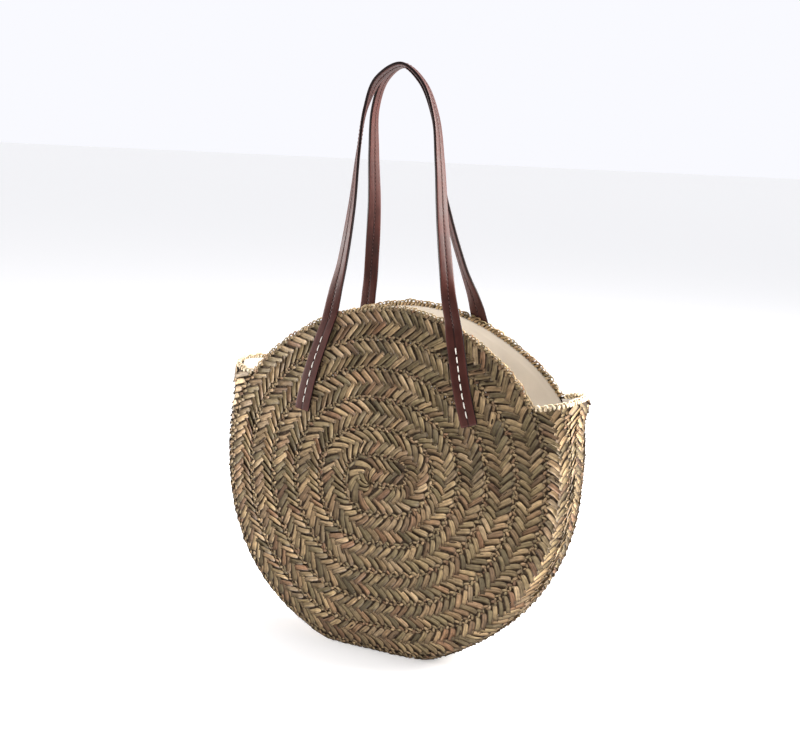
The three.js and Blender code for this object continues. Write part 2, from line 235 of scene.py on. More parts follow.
def band_point(degrees, turn, inset=0.0):
    """A point of the band's section: turn is 0 at the front seam and 1 at the back seam."""
    seam_x, seam_z = seam_point(degrees)
    flare = smooth((seam_z / FULL_HEIGHT - FLARE_START) / (FLARE_END - FLARE_START))
    out_x = np.sin(np.radians(degrees)) * (1 - flare) + np.sign(seam_x) * flare
    out_z = np.cos(np.radians(degrees)) * (1 - flare)
    power = 2 / BAND_SQUARENESS
    round_part = np.clip(np.sin(np.pi * turn), 0, 1)
    level = np.cos(np.pi * turn)
    bulge = BAND_BULGE * read_table(BULGE_ROWS, seam_z / FULL_HEIGHT)
    out = (bulge - inset) * round_part ** power + SEAM_GAP
    y = -(half_depth(seam_z) - inset) * np.sign(level) * np.abs(level) ** power
    z = np.maximum(seam_z + out_z * out + EAR_RISE * flare * round_part, inset)
    return np.stack(np.broadcast_arrays(seam_x + out_x * out, y, z), -1)


class Band:
    """The band's outer face, measured in millimetres of braid from either seam."""

    def __init__(self):
        self.degrees = np.linspace(EAR_ANGLE, 360 - EAR_ANGLE, 247)
        turns = 0.5 - 0.5 * np.cos(np.linspace(0, np.pi, 65))
        grid = band_point(self.degrees[:, None], turns[None, :])
        steps = np.linalg.norm(np.diff(grid, axis=1), axis=2)
        along = np.concatenate([np.zeros((len(grid), 1)), np.cumsum(steps, 1)], 1)
        self.arc = along[:, -1]
        self.shares = np.linspace(0, 1, 49)
        self.grid = np.empty((len(grid), len(self.shares), 3))
        for i, row in enumerate(grid):
            for k in range(3):
                self.grid[i, :, k] = np.interp(self.shares * self.arc[i], along[i], row[:, k])

    def at(self, degrees, out, side):
        """Points `out` millimetres from the seam of that side (-1 front, 1 back)."""
        degrees = np.clip(np.asarray(degrees) % 360, self.degrees[0], self.degrees[-1])
        arc = np.interp(degrees, self.degrees, self.arc)
        share = np.clip(out / arc, 0, 1)
        if side > 0:
            share = 1 - share
        column = (degrees - self.degrees[0]) / (self.degrees[1] - self.degrees[0])
        i = np.clip(column.astype(int), 0, len(self.degrees) - 2)
        row = share * (len(self.shares) - 1)
        j = np.clip(row.astype(int), 0, len(self.shares) - 2)
        u = (column - i)[..., None]
        v = (row - j)[..., None]
        g = self.grid
        low = g[i, j] * (1 - v) + g[i, j + 1] * v
        high = g[i + 1, j] * (1 - v) + g[i + 1, j + 1] * v
        return low * (1 - u) + high * u


BAND = Band()


class Spiral:
    """Lays the sewn spiral of braid over a panel and, past its rim, over the band."""

    def __init__(self, side, flip):
        self.side = side
        self.flip = flip
        degrees = np.linspace(0, 360, 1441)
        x, z = seam_point(degrees)
        x = x * flip - SPIRAL_X
        z = z - SPIRAL_Z
        angle = np.arctan2(z, x)
        order = np.argsort(angle)
        self.angle = np.linspace(-np.pi, np.pi, 721)
        self.rim = np.interp(self.angle, angle[order], np.hypot(x, z)[order], period=2 * np.pi)
        rows = self.edge_rows(self.angle)
        scale = self.rim / rows
        right = np.interp(0, self.angle, scale)
        below = np.interp(-np.pi / 2, self.angle, scale)
        blend = smooth((self.angle + np.pi / 2) / (np.pi / 2))
        corner = (self.angle > -np.pi / 2) & (self.angle < 0)
        scale = np.where(corner, below + (right - below) * blend, scale)
        wide = np.concatenate([scale[:-1]] * 3)
        soft = np.convolve(wide, np.ones(31) / 31, "same")[720:1441]
        self.scale = soft
        self.make_path()

    @staticmethod
    def edge_rows(angle):
        """Distance of the panel's edge from the spiral's middle, in rows."""
        cos, sin = np.cos(angle), np.sin(angle)

        def ring(centre, radius):
            along = centre[0] * cos + centre[1] * sin
            return along + np.sqrt(along ** 2 - centre[0] ** 2 - centre[1] ** 2 + radius ** 2)

        right = ring(END_CENTRE, TURNS - 0.5)
        left = ring(START_CENTRE, TURNS)
        top = (END_CENTRE[1] + TURNS - 0.5) / np.maximum(sin, 1e-6)
        bottom = (TURNS - START_CENTRE[1]) / np.maximum(-sin, 1e-6)
        rows = np.where(cos > 0, right, left)
        straight = np.where(sin > 0, top, bottom)
        return np.where(np.abs(straight * cos) < END_CENTRE[0], straight, rows)

    def make_path(self):
        """Centre line of the braid in rows, from its start in the core to the ear."""
        x, z, heading = [], [], []
        step = 0.01

        def straight(x0, x1, z0):
            count = max(int(abs(x1 - x0) / step), 1)
            for i in range(count):
                x.append(x0 + (x1 - x0) * i / count)
                z.append(z0)
                heading.append(math.pi if x1 < x0 else 2 * math.pi)

        def turn(centre, radius, start, sweep):
            count = max(int(radius * sweep / step), 8)
            for i in range(count):
                a = start + sweep * i / count
                x.append(centre[0] + radius * math.cos(a))
                z.append(centre[1] + radius * math.sin(a))
                heading.append(a + math.pi / 2)

        ax, az = START_CENTRE
        bx, bz = END_CENTRE
        straight(bx + 0.45, ax, az + 0.5)
        for k in range(TURNS):
            turn(START_CENTRE, k + 0.5, math.pi / 2, math.pi)
            straight(ax, bx, az - k - 0.5)
            last = k == TURNS - 1
            turn(END_CENTRE, k + 1.0, -math.pi / 2, math.pi * (0.79 if last else 1))
            if not last:
                straight(bx, ax, bz + k + 1.0)
        x, z = np.array(x), np.array(z)
        heading = np.unwrap(np.array(heading))
        gone = np.hypot(np.diff(x), np.diff(z))
        self.along = np.concatenate([[0], np.cumsum(gone)])
        self.x, self.z, self.heading = x, z, heading
        self.length = self.along[-1] * ROW_WIDTH

    def flat(self, s, t):
        """Strip position in millimetres to the flat plan, in rows."""
        s = s / ROW_WIDTH
        t = t / ROW_WIDTH
        heading = np.interp(s, self.along, self.heading)
        x = np.interp(s, self.along, self.x) + t * np.sin(heading)
        z = np.interp(s, self.along, self.z) - t * np.cos(heading)
        return x, z

    def lay(self, x, z):
        """A point of the flat plan, laid on the bag."""
        angle = np.arctan2(z, x)
        scale = np.interp(angle, self.angle, self.scale)
        radius = np.hypot(x, z) * scale
        px = self.flip * (SPIRAL_X + radius * np.cos(angle))
        pz = SPIRAL_Z + radius * np.sin(angle)
        disc = np.stack([px, self.side * panel_depth(px, pz), pz], -1)
        over, degrees = self.past_rim(x, z)
        below = (degrees > EAR_ANGLE) & (degrees < 360 - EAR_ANGLE)
        band = BAND.at(degrees, np.maximum(over, 0), self.side)
        return np.where(((over > 0) & (below | (over > 3)))[..., None], band, disc)

    def past_rim(self, x, z):
        """How far a point of the plan lies past the panel's rim, and its degrees round from the top."""
        angle = np.arctan2(z, x)
        rim = np.interp(angle, self.angle, self.rim)
        over = np.hypot(x, z) * np.interp(angle, self.angle, self.scale) - rim
        rim_x = self.flip * (SPIRAL_X + rim * np.cos(angle))
        rim_z = SPIRAL_Z + rim * np.sin(angle)
        return over, np.degrees(np.arctan2(rim_x, rim_z - DISC_CENTRE_HEIGHT)) % 360

    def holds(self, s, t):
        """Whether a place of the strip is on the bag, and not past an ear."""
        over, degrees = self.past_rim(*self.flat(s, t))
        mouth = (degrees < EAR_ANGLE) | (degrees > 360 - EAR_ANGLE)
        return ~(mouth & (over > 2.0))

    def strip(self, s, t):
        return self.lay(*self.flat(s, t))

    def outer_edge(self):
        """How far the braid reaches over the band, by degrees round from the top."""
        angle = np.linspace(-np.pi / 2, np.pi / 2, 361)
        along = END_CENTRE[0] * np.cos(angle) + END_CENTRE[1] * np.sin(angle)
        ends = END_CENTRE[0] ** 2 + END_CENTRE[1] ** 2
        rows = along + np.sqrt(along ** 2 - ends + (TURNS + 0.5) ** 2)
        rim = np.interp(angle, self.angle, self.rim)
        over = np.maximum(rows * np.interp(angle, self.angle, self.scale) - rim, 0)
        x = self.flip * (SPIRAL_X + rim * np.cos(angle))
        z = SPIRAL_Z + rim * np.sin(angle)
        return np.degrees(np.arctan2(x, z - DISC_CENTRE_HEIGHT)) % 360, over


class BandRow:
    """One of the rows of braid between the two panels' braids."""

    def __init__(self, front, back, index, rows):
        self.degrees = np.linspace(EAR_ANGLE, 360 - EAR_ANGLE, 493)
        arc = np.interp(self.degrees, BAND.degrees, BAND.arc)
        edges = []
        for spiral in (front, back):
            degrees, over = spiral.outer_edge()
            order = np.argsort(degrees)
            inside = (self.degrees >= degrees.min()) & (self.degrees <= degrees.max())
            edges.append(np.where(inside, np.interp(self.degrees, degrees[order], over[order]), 0))
        width = (arc - edges[0] - edges[1]) / rows
        self.middle = edges[0] + width * (index + 0.5)
        self.width = width
        line = BAND.at(self.degrees, self.middle, -1)
        gone = np.linalg.norm(np.diff(line, axis=0), axis=1)
        self.along = np.concatenate([[0], np.cumsum(gone)])
        self.length = self.along[-1]

    def strip(self, s, t):
        degrees = np.interp(s, self.along, self.degrees)
        middle = np.interp(s, self.along, self.middle)
        width = np.interp(s, self.along, self.width)
        return BAND.at(degrees, np.maximum(middle + t * width / ROW_WIDTH, 0), -1)

    def holds(self, s, t):
        return np.ones(np.shape(s), bool)


class Pile:
    """Collects small curved patches into one mesh, each with its own grain and its own colour values, which also
    carry painted shade and a painted highlight.
    """

    def __init__(self):
        self.points, self.faces, self.grain, self.tint, self.kind = [], [], [], [], []
        self.count = 0

    def add(self, points, grain, tint, kind=0, closed=False, looped=False):
        """Adds points (patches, rows, columns, 3). A closed patch joins its columns round, a looped one its rows."""
        n, rows, columns = points.shape[:3]
        index = np.arange(rows * columns).reshape(rows, columns)
        if closed:
            index = np.concatenate([index, index[:, :1]], 1)
        if looped:
            index = np.concatenate([index, index[:1]])
        corners = [index[:-1, :-1], index[:-1, 1:], index[1:, 1:], index[1:, :-1]]
        quads = np.stack(corners, -1).reshape(1, -1, 4) + (np.arange(n) * rows * columns)[:, None, None]
        self.points.append(points.reshape(-1, 3))
        self.faces.append(quads.reshape(-1, 4) + self.count)
        self.grain.append(np.broadcast_to(grain, points.shape).reshape(-1, 3))
        self.tint.append(np.broadcast_to(tint, points.shape).reshape(-1, 3))
        self.kind.append(np.full(len(quads.reshape(-1, 4)), kind))
        self.count += n * rows * columns

    def build(self, name, materials):
        points = np.concatenate(self.points) * MM
        points[:, 2] = np.maximum(points[:, 2], FLOOR_ROOM * MM)
        faces = np.concatenate(self.faces)
        mesh = bpy.data.meshes.new(name)
        mesh.vertices.add(len(points))
        mesh.vertices.foreach_set("co", points.astype(np.float32).ravel())
        mesh.loops.add(faces.size)
        mesh.loops.foreach_set("vertex_index", faces.astype(np.int32).ravel())
        mesh.polygons.add(len(faces))
        mesh.polygons.foreach_set("loop_start", np.arange(0, faces.size, 4, dtype=np.int32))
        mesh.polygons.foreach_set("loop_total", np.full(len(faces), 4, dtype=np.int32))
        for material in materials:
            mesh.materials.append(material)
        mesh.polygons.foreach_set("material_index", np.concatenate(self.kind).astype(np.int32))
        mesh.polygons.foreach_set("use_smooth", np.ones(len(faces), dtype=bool))
        grain = mesh.attributes.new("grain", "FLOAT_VECTOR", "POINT")
        grain.data.foreach_set("vector", np.concatenate(self.grain).astype(np.float32).ravel())
        tint = mesh.attributes.new("tint", "FLOAT_VECTOR", "POINT")
        tint.data.foreach_set("vector", np.concatenate(self.tint).astype(np.float32).ravel())
        mesh.update(calc_edges=True)
        mesh.validate()
        piece = bpy.data.objects.new(name, mesh)
        bpy.context.scene.collection.objects.link(piece)
        return piece


def joined(first, second, third):
    """Three values over one grid, as a row of three at each point."""
    return np.stack(np.broadcast_arrays(first, second, third), -1)


def lifted(strip, s, t, height, side_hint):
    """Points of a strip, raised off its surface."""
    base = strip(s, t)
    along = strip(s + 0.8, t) - strip(s - 0.8, t)
    across = strip(s, t + 0.8) - strip(s, t - 0.8)
    normal = np.cross(along, across) * side_hint
    normal /= np.maximum(np.linalg.norm(normal, axis=-1, keepdims=True), 1e-9)
    return base + normal * height[..., None]


def faced(flip, *grids):
    """Turns the columns of patches round where their faces would look inward."""
    return tuple(grid[:, :, ::-1] for grid in grids) if flip else grids


def row_crown(t):
    """A row of braid is a little round: highest in its middle and sunk at its seams."""
    share = np.clip(np.abs(t) / (0.5 * ROW_WIDTH), 0, 1.2)
    return 0.7 - 1.5 * share ** 4


def leaves(rng, row, side_hint, start, stop, settings, rows=8, columns=9):
    """Two columns of slanting leaves, which meet in the middle of the row as arrow heads."""
    pitch = settings.leaf_pitch / MM
    width = 0.5 * settings.leaf_width / MM
    count = int((stop - start) / pitch)
    made = []
    for column in (-1, 1):
        s = start + pitch * (np.arange(count) + 0.5 + 0.25 * column) + rng.normal(0, 0.35, count)
        s = s[row.holds(s - 4, np.full(count, 6.0 * column))]
        n = len(s)
        u = np.linspace(0, 1, rows)[None, :, None]
        v = np.linspace(-1, 1, columns)[None, None, :]

        def each(middle, spread):
            return rng.normal(middle, spread, (n, 1, 1))

        advance = each(LEAF_ADVANCE, 0.8)
        outer = each(LEAF_OUTER, 0.5)
        inner = each(LEAF_INNER, 0.4)
        half = width * each(1, 0.08)
        bow = each(0.3, 0.45)
        run_s = -advance
        run_t = inner - outer
        length = np.hypot(run_s, run_t)
        unit_s, unit_t = run_s / length, run_t / length
        taper = 1 - 0.2 * np.abs(2 * u - 1) ** 4
        side = v * half * taper + bow * 4 * u * (1 - u)
        ps = s[:, None, None] + 0.5 * advance + run_s * u - unit_t * side
        pt = (outer + run_t * u + unit_s * side) * column
        lanes = rng.choice([1.0, 2.0, 3.0], (n, 1, 1), p=[0.15, 0.5, 0.35])
        lane = np.abs(np.sin(0.5 * np.pi * lanes * (v + 1))) ** 0.7
        tucked = 1.2 * smooth((u - 0.82) / 0.18) + 0.8 * smooth((0.12 - u) / 0.12)
        ends = 0.5 * np.sin(np.pi * u) ** 0.7 - tucked
        edge = 1 - np.abs(v) ** 3
        height = row_crown(pt) + ends + each(1.05, 0.12) * edge - 1.0
        height = height + 0.32 * (lane - 0.75) + each(0.32, 0.3) * v
        height = height + each(0, 0.15)
        points = lifted(row.strip, ps, pt, height, side_hint)
        grain = joined(u * length + rng.uniform(0, GRAIN_RANGE, (n, 1, 1)), v * half, rng.random((n, 1, 1)))
        # Painted shade, kept as the third colour value: darker in a leaf's grooves, along its edges and where its
        # ends tuck under.
        shade = (0.5 + 0.5 * lane) * np.clip(edge * 1.25, 0.06, 1) * np.clip(1.2 + ends * 0.9, 0.15, 1)
        tone = joined(PLAIN_LEAVES * rng.random((n, 1, 1)), rng.random((n, 1, 1)), shade)
        made.append(faced(side_hint * column > 0, points, grain, tone))
    return made


def folds(rng, row, side_hint, start, stop, settings, rows=5, columns=4):
    """The small loops at both edges of a row, where its leaves fold back and the sewing catches them."""
    pitch = settings.leaf_pitch / MM
    count = int((stop - start) / pitch)
    made = []
    for column in (-1, 1):
        for offset, length, half, place, slant in FOLD_ROWS:
            s = start + pitch * (np.arange(count) + 0.5 + offset) + 0.25 * pitch * column
            s = s + rng.normal(0, 0.5, count)
            s = s[row.holds(s, np.full(count, 12.0 * column))]
            n = len(s)
            u = np.linspace(-1, 1, rows)[None, :, None]
            v = np.linspace(-1, 1, columns)[None, None, :]
            slope = slant + rng.normal(0, 0.22, (n, 1, 1))
            reach = 0.5 * length * (1 + rng.normal(0, 0.12, (n, 1, 1)))
            wide = half * (1 + rng.normal(0, 0.1, (n, 1, 1)))
            outline = np.sqrt(np.clip(1 - 0.85 * np.abs(u) ** 2.2, 0, 1))
            middle = place + rng.normal(0, 0.35, (n, 1, 1))
            ps = s[:, None, None] + reach * u * np.cos(slope) - wide * outline * v * np.sin(slope)
            pt = (middle + reach * u * np.sin(slope) + wide * outline * v * np.cos(slope)) * column
            arch = 0.95 * (1 - np.abs(u) ** 2.2) * (1 - 0.9 * v * v)
            height = np.broadcast_to(arch - 0.55 + rng.normal(0, 0.12, (n, 1, 1)), ps.shape)
            points = lifted(row.strip, ps, pt, height, side_hint)
            start_grain = rng.uniform(0, GRAIN_RANGE, (n, 1, 1))
            grain = joined(u * reach + start_grain, v * wide, rng.random((n, 1, 1)))
            # The third colour value is painted shade: darker where each loop dips under at its ends and sides.
            tone = joined(PLAIN_LEAVES * rng.random((n, 1, 1)), 0.3 + 0.7 * rng.random((n, 1, 1)),
                          np.clip(arch * 1.1 + 0.12, 0, 1))
            made.append(faced(side_hint * column > 0, points, grain, tone))
    return made


def light_hole_spots(rng, row, side_hint, settings):
    """Pale spots of the lining's cloth laid over the upper seams: painted light, standing in for light that shines
    through small holes between the leaves.
    """
    pitch = settings.leaf_pitch / MM
    seam = 0.5 * ROW_WIDTH
    s = np.arange(pitch, row.length - pitch, 0.5 * pitch)
    s = s + rng.normal(0, 1.2, len(s))
    high = row.strip(s, np.full(len(s), seam))[:, 2] > LIGHT_SPOTS_FROM
    s = s[high & (rng.random(len(s)) < 0.6) & row.holds(s, np.full(len(s), seam + 3.0))]
    n = len(s)
    u = np.linspace(-1, 1, 4)[None, :, None]
    v = np.linspace(-1, 1, 4)[None, None, :]
    size = rng.uniform(0.4, 0.85, (n, 1, 1))
    round_off = np.sqrt(1 - 0.45 * np.maximum(u * u, v * v))
    ps = s[:, None, None] + 1.2 * size * u * round_off
    pt = seam + rng.normal(0, 1.0, (n, 1, 1)) + size * v * round_off
    height = 0.75 - 0.5 * (u * u + v * v) + 0 * ps
    points = lifted(row.strip, ps, pt, height, side_hint)
    tone = np.full(points.shape, 1.0)
    return faced(side_hint > 0, points, np.zeros(points.shape), tone)


def thin_sheet(pile, outer, inner, kind=0, ring=True, flip=False):
    """A thin closed sheet between two grids of points. A ring of columns meets itself, or its ends are shut."""
    if not ring:
        first, last = (outer[:, :1] + inner[:, :1]) / 2, (outer[:, -1:] + inner[:, -1:]) / 2
        outer = np.concatenate([first, outer, last], 1)
        inner = np.concatenate([first, inner, last], 1)
    points, = faced(flip, np.concatenate([outer, inner[::-1]])[None])
    pile.add(points, np.zeros(points.shape), np.full(points.shape, 0.5), kind=kind, looped=not ring)


def panel_sheet(side, inset, count=96, rings=14, reach=1.0):
    """A grid over a panel, `inset` below its outer face."""
    degrees = np.linspace(0, 360, count + 1)
    share = 1 - (1 - np.linspace(0, 1, rings)) ** 1.35
    seam_x, seam_z = seam_point(degrees)
    x = share[:, None] * seam_x[None] * reach
    z = DISC_CENTRE_HEIGHT + share[:, None] * (seam_z[None] - DISC_CENTRE_HEIGHT) * reach
    y = side * (half_depth(z) + PANEL_PILLOW * (1 - share[:, None] ** PILLOW_POWER) - inset)
    return np.stack([x, y, z], -1)


def band_sheet(inset, columns=124, arc=16):
    degrees = np.linspace(EAR_ANGLE, 360 - EAR_ANGLE, columns)
    turn = np.linspace(0, 1, arc)
    return band_point(degrees[None, :], turn[:, None], inset)


def lining_panel(side, wall, count=180):
    """One face of the lining against a panel, with a hem along the mouth and soft wrinkles."""
    degrees = np.linspace(0, 360, count + 1)
    from_top = np.minimum(degrees, 360 - degrees)
    below = smooth((from_top - EAR_ANGLE + 5) / 10)
    room = LINING_HEM * (1 - below) + 2.0 * below
    hem = np.array([0.0, 0.6, 2.2, 5.0, 7.6, 8.6, 9.6, 12.0])
    seam_x, seam_z = seam_point(degrees)
    reach = np.hypot(seam_x, seam_z - DISC_CENTRE_HEIGHT)
    inner = np.linspace(0, 1, 17)[:-1, None] * (reach - room - 14.0)[None]
    edge = (reach - room)[None] - hem[::-1, None]
    share = np.concatenate([inner, edge]) / reach[None]
    x = share * seam_x[None]
    z = DISC_CENTRE_HEIGHT + share * (seam_z[None] - DISC_CENTRE_HEIGHT)
    from_edge = (1 - share) * reach[None] - room[None]
    at_mouth = (1 - below)[None]
    fold = 0.7 * smooth((9.0 - from_edge) / 0.8) * smooth(from_edge / 0.7) * at_mouth
    slack = smooth(from_edge / 25)
    wave = np.sin(x * 0.05 + z * 0.031 + side) + np.sin(z * 0.083 - x * 0.022 + 2.1 * side)
    wave = wave + 0.7 * np.sin(x * 0.13 + 0.06 * z + 1.3) + 0.35 * np.sin(0.21 * x - 0.17 * z)
    wrinkle = 0.8 * (wave + 2.4) * slack
    y = half_depth(z) + PANEL_PILLOW * (1 - np.clip(share, 0, 1) ** PILLOW_POWER)
    y = y - 3.5 - (wrinkle + fold + 1.0 if wall else wrinkle)
    return np.stack([x, side * y, z], -1)


def lining_band(wall, columns=150, arc=33):
    """One face of the lining against the band, gathered in small pleats at both ears."""
    first = EAR_ANGLE + math.degrees(LINING_EAR_HEM / DISC_RADIUS)
    degrees = np.linspace(first, 360 - first, columns)[None, :]
    turn = np.linspace(0, 1, arc)[:, None]
    from_ear = np.minimum(degrees - first, 360 - first - degrees) * math.radians(1) * DISC_RADIUS
    gather = np.exp(-from_ear / 34) * np.sin(np.pi * turn) ** 0.7
    pleat = 0.5 + 0.5 * np.cos(2 * np.pi * (3.2 * turn + 0.25 * np.sin(from_ear * 0.07)))
    wrinkle = 4.2 * gather * pleat + 0.5 + 0.5 * np.sin(0.11 * from_ear + 9 * turn)
    inset = 3.9 + wrinkle * np.sin(np.pi * turn) ** 0.5 + wall
    points = band_point(degrees, turn, inset)
    points[..., 2] = np.maximum(points[..., 2], 3.6 + wall)
    return points


def set_inputs(made, **inputs):
    """Sets the sockets of a shader node by name."""
    for key, value in inputs.items():
        made.inputs[key.replace("_", " ")].default_value = value


def node(tree, kind, **inputs):
    made = tree.nodes.new(kind)
    set_inputs(made, **inputs)
    return made


def new_material(name):
    material = bpy.data.materials.new(name)
    material.use_nodes = True
    tree = material.node_tree
    return material, tree, tree.nodes["Principled BSDF"]


def object_place(tree):
    return tree.nodes.new("ShaderNodeTexCoord").outputs["Object"]


def attribute(tree, name):
    """A vector kept at the points of the mesh."""
    made = tree.nodes.new("ShaderNodeAttribute")
    made.attribute_name = name
    return made.outputs["Vector"]


def parts_of(tree, vector):
    made = tree.nodes.new("ShaderNodeSeparateXYZ")
    tree.links.new(vector, made.inputs[0])
    return made.outputs


def noise(tree, place, **inputs):
    made = node(tree, "ShaderNodeTexNoise", **inputs)
    tree.links.new(place, made.inputs["Vector"])
    return made.outputs[0]


def ramp(tree, value, stops):
    """Reads a colour off a table."""
    made = tree.nodes.new("ShaderNodeValToRGB")
    elements = made.color_ramp.elements
    while len(elements) < len(stops):
        elements.new(0.5)
    for element, (place, colour) in zip(elements, stops):
        element.position = place
        element.color = (*colour, 1)
    tree.links.new(value, made.inputs[0])
    return made.outputs[0]


def bumped(tree, shader, height, strength, distance):
    bump = node(tree, "ShaderNodeBump", Strength=strength, Distance=distance)
    tree.links.new(height, bump.inputs["Height"])
    tree.links.new(bump.outputs[0], shader.inputs["Normal"])


def maths(tree, kind, a, b=None, c=None):
    made = tree.nodes.new("ShaderNodeMath")
    made.operation = kind
    for socket, value in zip(made.inputs, (a, b, c)):
        if value is None:
            continue
        if isinstance(value, (int, float)):
            socket.default_value = value
        else:
            tree.links.new(value, socket)
    return made.outputs[0]


def mixed(tree, kind, factor, a, b):
    made = tree.nodes.new("ShaderNodeMix")
    made.data_type = "RGBA"
    made.blend_type = kind
    for socket, value in zip((made.inputs[0], made.inputs[6], made.inputs[7]), (factor, a, b)):
        if isinstance(value, (int, float)):
            socket.default_value = value
        elif isinstance(value, tuple):
            socket.default_value = (*value, 1)
        else:
            tree.links.new(value, socket)
    return made.outputs[2]


def straw_material(settings):
    """Dry split palm leaf: every leaf has its own colour and fine ribs, with painted shade darkening its grooves,
    edges and tucked ends.
    """
    material, tree, shader = new_material("palm_leaf")
    hue, bright, shade = parts_of(tree, attribute(tree, "tint"))
    grain = attribute(tree, "grain")
    stretch = tree.nodes.new("ShaderNodeVectorMath")
    stretch.operation = "MULTIPLY"
    stretch.inputs[1].default_value = RIB_STRETCH
    tree.links.new(grain, stretch.inputs[0])
    ribs = noise(tree, stretch.outputs[0], Scale=1.0, Detail=3.0, Roughness=0.6)
    blotch = noise(tree, grain, Scale=0.22, Detail=2.0, Roughness=0.5)
    streak = maths(tree, "MULTIPLY_ADD", ribs, 2.2, -0.05)
    patch = maths(tree, "MULTIPLY_ADD", blotch, 1.0, 0.5)
    own = maths(tree, "MULTIPLY_ADD", bright, 0.8, 0.6)
    level = maths(tree, "MULTIPLY", maths(tree, "MULTIPLY", streak, patch), own)
    colour = mixed(tree, "MULTIPLY", 1.0, ramp(tree, hue, LEAF_COLOURS), level)
    # Painted shade: the leaf colour is mixed towards a dark brown where the shade value is low.
    edge = mixed(tree, "MIX", maths(tree, "POWER", shade, 0.8), LEAF_PAINTED_SHADE, colour)
    tree.links.new(edge, shader.inputs["Base Color"])
    set_inputs(shader, Roughness=settings.straw_roughness, Specular_IOR_Level=0.35)
    bumped(tree, shader, ribs, 0.35, 0.0004)
    return material


def cotton_material(settings):
    """Plain woven cotton."""
    material, tree, shader = new_material("cotton_cloth")
    place = object_place(tree)
    threads = []
    for direction in ("X", "Z"):
        wave = node(tree, "ShaderNodeTexWave", Scale=260.0, Distortion=0.6)
        wave.bands_direction = direction
        tree.links.new(place, wave.inputs["Vector"])
        threads.append(wave.outputs["Fac"])
    weave = maths(tree, "MULTIPLY", *threads)
    level = maths(tree, "MULTIPLY_ADD", noise(tree, place, Scale=38.0, Detail=3.0), 0.16, 0.9)
    level = maths(tree, "MULTIPLY", level, maths(tree, "MULTIPLY_ADD", weave, 0.06, 0.96))
    colour = mixed(tree, "MULTIPLY", 1.0, tuple(settings.cotton_colour), level)
    tree.links.new(colour, shader.inputs["Base Color"])
    set_inputs(shader, Roughness=0.92, Sheen_Weight=0.25)
    bumped(tree, shader, weave, 0.25, 0.0002)
    return material


def leather_material(settings):
    """Smooth dark red-brown leather with a fine grain and a painted highlight, lighter over its face and most
    towards its rounded edges.
    """
    material, tree, shader = new_material("brown_leather")
    place = object_place(tree)
    highlight_share, cut_edge, seam = parts_of(tree, attribute(tree, "tint"))
    pores = node(tree, "ShaderNodeTexVoronoi", Scale=1500.0)
    tree.links.new(place, pores.inputs["Vector"])
    cloud = noise(tree, place, Scale=45.0, Detail=4.0, Roughness=0.6)
    face = ramp(tree, cloud, LEATHER_COLOURS)
    # Painted highlight: lighter towards the rounded edges of the strap.
    highlit = mixed(tree, "MIX", maths(tree, "MULTIPLY", highlight_share, 0.45), face, LEATHER_HIGHLIGHT)
    sewn = mixed(tree, "MIX", maths(tree, "MULTIPLY", seam, 0.75), highlit, LEATHER_SEAM)
    tree.links.new(mixed(tree, "MIX", cut_edge, sewn, LEATHER_CUT), shader.inputs["Base Color"])
    rough = maths(tree, "MULTIPLY_ADD", cloud, 0.25, settings.leather_roughness - 0.12)
    tree.links.new(rough, shader.inputs["Roughness"])
    set_inputs(shader, Specular_IOR_Level=0.2)
    bumped(tree, shader, pores.outputs["Distance"], 0.18, 0.0003)
    return material


def plain_look(name, fineness, detail, dark, light, roughness):
    """A maker of a material that wanders finely between a dark and a light colour."""
    def make(_settings):
        material, tree, shader = new_material(name)
        grit = noise(tree, object_place(tree), Scale=fineness, Detail=detail)
        tree.links.new(ramp(tree, grit, ((0.3, dark), (0.7, light))), shader.inputs["Base Color"])
        set_inputs(shader, Roughness=roughness)
        return material

    return make


def look_rows():
    """The makers of all materials by name: the inner leaves and both threads are plain ones."""
    plain = (
        ("shaded_leaf", 420.0, 2.0, (0.022, 0.012, 0.006), (0.10, 0.062, 0.032), 0.9),
        ("waxed_thread", 900.0, 1.0, (0.62, 0.57, 0.50), (0.85, 0.81, 0.74), 0.6),
        ("brown_thread", 1200.0, 1.0, (0.05, 0.012, 0.010), (0.13, 0.04, 0.03), 0.55),
    )
    makers = {row[0]: plain_look(*row) for row in plain}
    makers.update(palm_leaf=straw_material, cotton_cloth=cotton_material, brown_leather=leather_material)
    return makers


LOOKS = look_rows()


def rim_places(rng, line, outward, normal, pitch):
    """Even places along a rim, and a reader of the rim's line and directions there."""
    gone = np.concatenate([[0], np.cumsum(np.linalg.norm(np.diff(line, axis=0), axis=1))])
    count = int(gone[-1] / pitch)
    s = (np.arange(count) + 0.5) * gone[-1] / count + rng.normal(0, 0.25, count)

    def pick(values, at):
        return np.stack([np.interp(at, gone, values[:, k]) for k in range(3)], -1)

    def place(along, out, face):
        off = pick(outward, along) * out[..., None] + pick(normal, along) * face[..., None]
        return pick(line, along) + off

    return s[:, None, None], place


def rim_turned(line, outward, normal):
    """Whether patches laid along this rim would face inward."""
    middle = len(line) // 2
    along = line[middle + 1] - line[middle - 1]
    return float(np.dot(np.cross(normal[middle], along), outward[middle])) < 0


